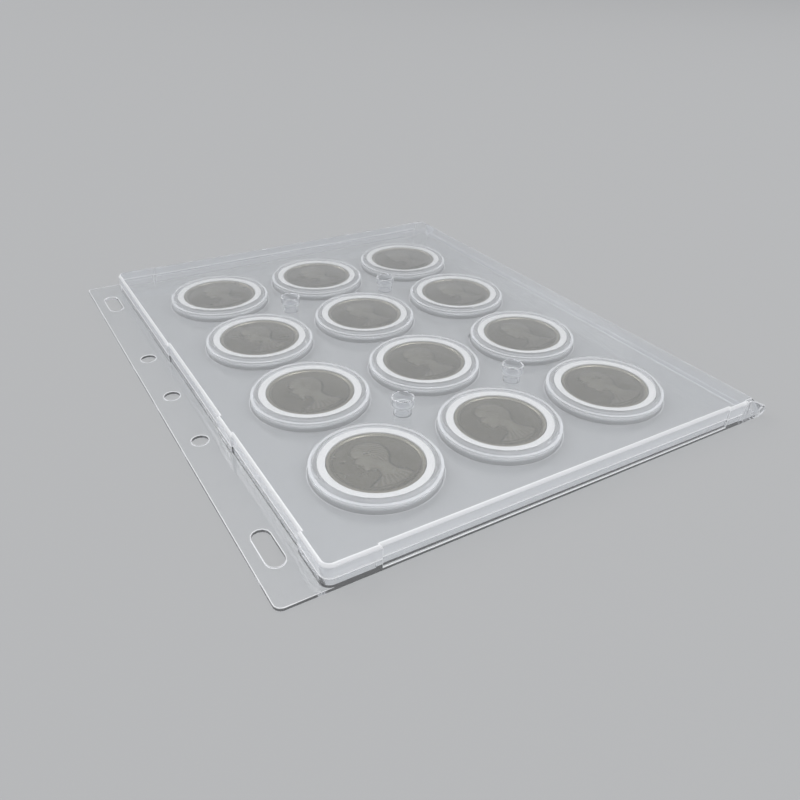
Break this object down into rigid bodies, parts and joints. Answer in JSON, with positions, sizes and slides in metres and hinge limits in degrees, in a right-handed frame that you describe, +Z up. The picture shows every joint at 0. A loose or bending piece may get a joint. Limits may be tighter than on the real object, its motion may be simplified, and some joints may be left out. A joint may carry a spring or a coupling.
{
  "type": "coin capsule album page",
  "caption": "Flat clear case on a punched binder strip, with a hinged clear lid over a grid of round capsules that each hold a coin in a soft ring.",
  "frame": {"origin": "on the underside, below the middle of the page's outline with its strip and hinge", "axes": "+X from the binder strip to the hinge, +Y from the front end to the back end, +Z up through the lid"},
  "size_m": [0.235, 0.281, 0.0112],
  "materials": {
    "clear_plastic": "clear glossy moulded polystyrene",
    "capsule_plastic": "clear polished moulded polystyrene",
    "soft_ring": "matte white closed-cell foam",
    "coin_metal": "struck nickel silver with a satin field"
  },
  "bodies": {
    "page": {"base_tray": "clear_plastic", "capsule_bottom_r1_c1": "capsule_plastic", "capsule_top_r1_c1": "capsule_plastic", "foam_ring_r1_c1": "soft_ring", "coin_r1_c1": "coin_metal", "capsule_bottom_r1_c2": "capsule_plastic", "capsule_top_r1_c2": "capsule_plastic", "foam_ring_r1_c2": "soft_ring", "coin_r1_c2": "coin_metal", "capsule_bottom_r1_c3": "capsule_plastic", "capsule_top_r1_c3": "capsule_plastic", "foam_ring_r1_c3": "soft_ring", "coin_r1_c3": "coin_metal", "capsule_bottom_r2_c1": "capsule_plastic", "capsule_top_r2_c1": "capsule_plastic", "foam_ring_r2_c1": "soft_ring", "coin_r2_c1": "coin_metal", "capsule_bottom_r2_c2": "capsule_plastic", "capsule_top_r2_c2": "capsule_plastic", "foam_ring_r2_c2": "soft_ring", "coin_r2_c2": "coin_metal", "capsule_bottom_r2_c3": "capsule_plastic", "capsule_top_r2_c3": "capsule_plastic", "foam_ring_r2_c3": "soft_ring", "coin_r2_c3": "coin_metal", "capsule_bottom_r3_c1": "capsule_plastic", "capsule_top_r3_c1": "capsule_plastic", "foam_ring_r3_c1": "soft_ring", "coin_r3_c1": "coin_metal", "capsule_bottom_r3_c2": "capsule_plastic", "capsule_top_r3_c2": "capsule_plastic", "foam_ring_r3_c2": "soft_ring", "coin_r3_c2": "coin_metal", "capsule_bottom_r3_c3": "capsule_plastic", "capsule_top_r3_c3": "capsule_plastic", "foam_ring_r3_c3": "soft_ring", "coin_r3_c3": "coin_metal", "capsule_bottom_r4_c1": "capsule_plastic", "capsule_top_r4_c1": "capsule_plastic", "foam_ring_r4_c1": "soft_ring", "coin_r4_c1": "coin_metal", "capsule_bottom_r4_c2": "capsule_plastic", "capsule_top_r4_c2": "capsule_plastic", "foam_ring_r4_c2": "soft_ring", "coin_r4_c2": "coin_metal", "capsule_bottom_r4_c3": "capsule_plastic", "capsule_top_r4_c3": "capsule_plastic", "foam_ring_r4_c3": "soft_ring", "coin_r4_c3": "coin_metal"},
    "lid": {"lid": "clear_plastic"}
  },
  "joints": [
    {"name": "lid_hinge", "type": "hinge", "parent": "page", "child": "lid", "pos_m": [0.1147, 0, 0.0031], "axis": [0, 1, 0], "range_deg": [0, 180]}
  ]
}
